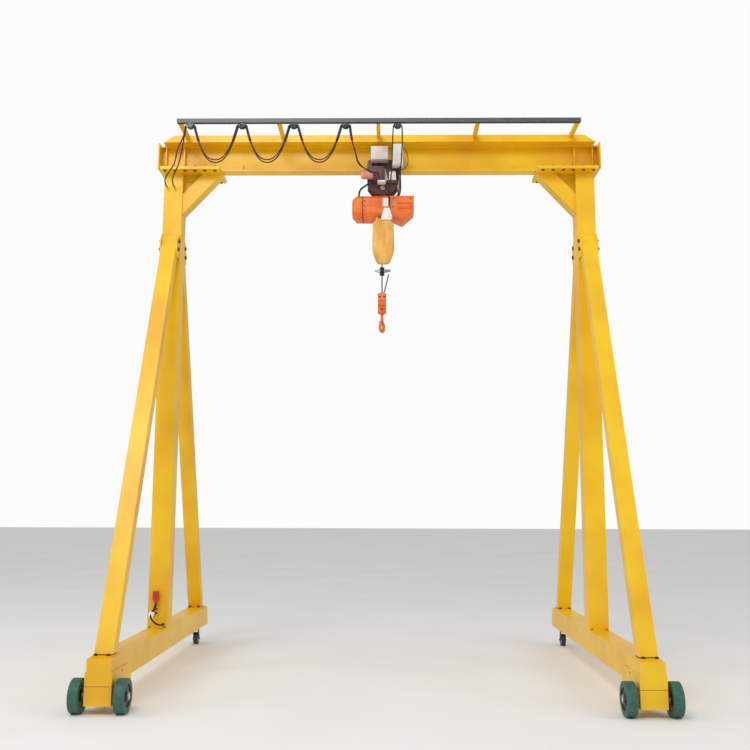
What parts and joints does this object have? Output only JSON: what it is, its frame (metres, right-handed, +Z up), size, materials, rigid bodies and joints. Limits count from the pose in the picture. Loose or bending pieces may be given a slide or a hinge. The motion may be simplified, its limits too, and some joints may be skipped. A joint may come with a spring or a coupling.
{
  "type": "portable gantry crane",
  "caption": "Wheeled two-leg gantry crane with slanted leg struts, a girder with a festoon cable rail, and an electric chain hoist on a travelling trolley.",
  "frame": {"origin": "on the floor, below the middle of the girder and midway between the front wheels' foremost points and the base beams' rear tips", "axes": "+X along the girder, +Y from the front of the crane to its rear, +Z up"},
  "size_m": [4.4256, 3.63, 5.07],
  "materials": {
    "yellow_paint": "semi-gloss",
    "zinc_steel": "zinc plated",
    "wheel_rubber": "matt",
    "black_plastic": "matt",
    "cable_rubber": "matt",
    "maroon_paint": "satin",
    "machined_steel": "machined",
    "pale_paint": "satin",
    "orange_paint": "satin",
    "bag_fabric": "coated",
    "chain_steel": "blackened",
    "red_plastic": "gloss"
  },
  "bodies": {
    "frame": {"left_base_beam": "yellow_paint", "left_wheel_box": "yellow_paint", "left_front_axle": "zinc_steel", "left_post": "yellow_paint", "left_front_strut": "yellow_paint", "left_rear_strut": "yellow_paint", "left_strut_bolts": "zinc_steel", "left_knee_brace": "yellow_paint", "left_head_bolts": "zinc_steel", "right_base_beam": "yellow_paint", "right_wheel_box": "yellow_paint", "right_front_axle": "zinc_steel", "right_post": "yellow_paint", "right_front_strut": "yellow_paint", "right_rear_strut": "yellow_paint", "right_strut_bolts": "zinc_steel", "right_knee_brace": "yellow_paint", "right_head_bolts": "zinc_steel", "girder_beam": "yellow_paint", "girder_cap": "yellow_paint", "end_stops": "yellow_paint", "cable_rail": "zinc_steel", "rail_arms": "yellow_paint", "festoon_cable": "cable_rubber", "feed_cable": "cable_rubber", "supply_cable": "cable_rubber", "supply_plug": "red_plastic"},
    "left_outer_wheel": {"left_outer_wheel": "wheel_rubber"},
    "left_inner_wheel": {"left_inner_wheel": "wheel_rubber"},
    "left_caster": {"left_caster_fork": "zinc_steel"},
    "left_caster_wheel": {"left_caster_wheel": "wheel_rubber"},
    "right_outer_wheel": {"right_outer_wheel": "wheel_rubber"},
    "right_inner_wheel": {"right_inner_wheel": "wheel_rubber"},
    "right_caster": {"right_caster_fork": "zinc_steel"},
    "right_caster_wheel": {"right_caster_wheel": "wheel_rubber"},
    "trolley": {"trolley_front_plate": "maroon_paint", "trolley_rear_plate": "maroon_paint", "suspension_shaft": "machined_steel", "trolley_drive": "pale_paint", "control_box": "pale_paint", "hoist_lug": "machined_steel", "hoist_body": "orange_paint", "motor_cover": "orange_paint", "gear_cover": "orange_paint", "chain_bag": "bag_fabric", "load_chain": "chain_steel", "trolley_cable": "cable_rubber"},
    "trolley_wheel_1": {"trolley_wheel_1": "machined_steel"},
    "trolley_wheel_2": {"trolley_wheel_2": "machined_steel"},
    "trolley_wheel_3": {"trolley_wheel_3": "machined_steel"},
    "trolley_wheel_4": {"trolley_wheel_4": "machined_steel"},
    "cable_carrier_1": {"cable_carrier_1": "black_plastic"},
    "cable_carrier_2": {"cable_carrier_2": "black_plastic"},
    "cable_carrier_3": {"cable_carrier_3": "black_plastic"},
    "tow_carrier": {"tow_carrier": "black_plastic"},
    "hook_block": {"hook_block": "orange_paint", "lower_chain": "chain_steel", "chain_stop": "pale_paint"},
    "hook": {"hook": "machined_steel"},
    "hook_latch": {"hook_latch": "zinc_steel"}
  },
  "joints": [
    {"name": "left_outer_wheel_spin", "type": "hinge", "parent": "frame", "child": "left_outer_wheel", "pos_m": [-2.165, -1.69, 0.125], "axis": [1, 0, 0], "continuous": true},
    {"name": "left_inner_wheel_spin", "type": "hinge", "parent": "frame", "child": "left_inner_wheel", "pos_m": [-1.835, -1.69, 0.125], "axis": [1, 0, 0], "continuous": true},
    {"name": "left_caster_swivel", "type": "hinge", "parent": "frame", "child": "left_caster", "pos_m": [-2, 1.616, 0.18], "axis": [0, 0, 1], "continuous": true},
    {"name": "left_caster_spin", "type": "hinge", "parent": "left_caster", "child": "left_caster_wheel", "pos_m": [-2, 1.656, 0.0625], "axis": [1, 0, 0], "continuous": true},
    {"name": "right_outer_wheel_spin", "type": "hinge", "parent": "frame", "child": "right_outer_wheel", "pos_m": [2.165, -1.69, 0.125], "axis": [1, 0, 0], "continuous": true},
    {"name": "right_inner_wheel_spin", "type": "hinge", "parent": "frame", "child": "right_inner_wheel", "pos_m": [1.835, -1.69, 0.125], "axis": [1, 0, 0], "continuous": true},
    {"name": "right_caster_swivel", "type": "hinge", "parent": "frame", "child": "right_caster", "pos_m": [2, 1.616, 0.18], "axis": [0, 0, 1], "continuous": true},
    {"name": "right_caster_spin", "type": "hinge", "parent": "right_caster", "child": "right_caster_wheel", "pos_m": [2, 1.656, 0.0625], "axis": [1, 0, 0], "continuous": true},
    {"name": "trolley_travel", "type": "slide", "parent": "frame", "child": "trolley", "axis": [1, 0, 0], "range_m": [-1.24, 1.16], "deforming": ["festoon_cable"]},
    {"name": "trolley_wheel_1_spin", "type": "hinge", "parent": "trolley", "child": "trolley_wheel_1", "pos_m": [-0.035, -0.05, 4.797], "axis": [0, 1, 0], "range_deg": [-1700, 1700]},
    {"name": "trolley_wheel_2_spin", "type": "hinge", "parent": "trolley", "child": "trolley_wheel_2", "pos_m": [0.115, -0.05, 4.797], "axis": [0, 1, 0], "range_deg": [-1700, 1700]},
    {"name": "trolley_wheel_3_spin", "type": "hinge", "parent": "trolley", "child": "trolley_wheel_3", "pos_m": [-0.035, 0.05, 4.797], "axis": [0, 1, 0], "range_deg": [-1700, 1700]},
    {"name": "trolley_wheel_4_spin", "type": "hinge", "parent": "trolley", "child": "trolley_wheel_4", "pos_m": [0.115, 0.05, 4.797], "axis": [0, 1, 0], "range_deg": [-1700, 1700]},
    {"name": "cable_carrier_1_slide", "type": "slide", "parent": "frame", "child": "cable_carrier_1", "axis": [1, 0, 0], "range_m": [-0.31, 0.29]},
    {"name": "cable_carrier_2_slide", "type": "slide", "parent": "cable_carrier_1", "child": "cable_carrier_2", "axis": [1, 0, 0], "range_m": [-0.31, 0.29]},
    {"name": "cable_carrier_3_slide", "type": "slide", "parent": "cable_carrier_2", "child": "cable_carrier_3", "axis": [1, 0, 0], "range_m": [-0.31, 0.29]},
    {"name": "tow_carrier_slide", "type": "slide", "parent": "cable_carrier_3", "child": "tow_carrier", "axis": [1, 0, 0], "range_m": [-0.31, 0.29]},
    {"name": "hook_hoist", "type": "slide", "parent": "trolley", "child": "hook_block", "axis": [0, 0, 1], "range_m": [-3, 0.2], "deforming": ["load_chain"]},
    {"name": "hook_swivel", "type": "hinge", "parent": "hook_block", "child": "hook", "pos_m": [0.035, 0.03, 3.329], "axis": [0, 0, 1], "continuous": true},
    {"name": "hook_latch_hinge", "type": "hinge", "parent": "hook", "child": "hook_latch", "pos_m": [0.03183, 0.0232, 3.2563], "axis": [0.9063, -0.4226, 0], "range_deg": [0, 28], "stiffness_Nm_per_rad": 0.08, "springref_deg": -20.05}
  ],
  "couplings": [
    {"joint": "trolley_wheel_1_spin", "follows": "trolley_travel", "rad_per_m": 23.81},
    {"joint": "trolley_wheel_2_spin", "follows": "trolley_travel", "rad_per_m": 23.81},
    {"joint": "trolley_wheel_3_spin", "follows": "trolley_travel", "rad_per_m": 23.81},
    {"joint": "trolley_wheel_4_spin", "follows": "trolley_travel", "rad_per_m": 23.81},
    {"joint": "cable_carrier_1_slide", "follows": "trolley_travel", "ratio": 0.25},
    {"joint": "cable_carrier_2_slide", "follows": "trolley_travel", "ratio": 0.25},
    {"joint": "cable_carrier_3_slide", "follows": "trolley_travel", "ratio": 0.25},
    {"joint": "tow_carrier_slide", "follows": "trolley_travel", "ratio": 0.25}
  ]
}
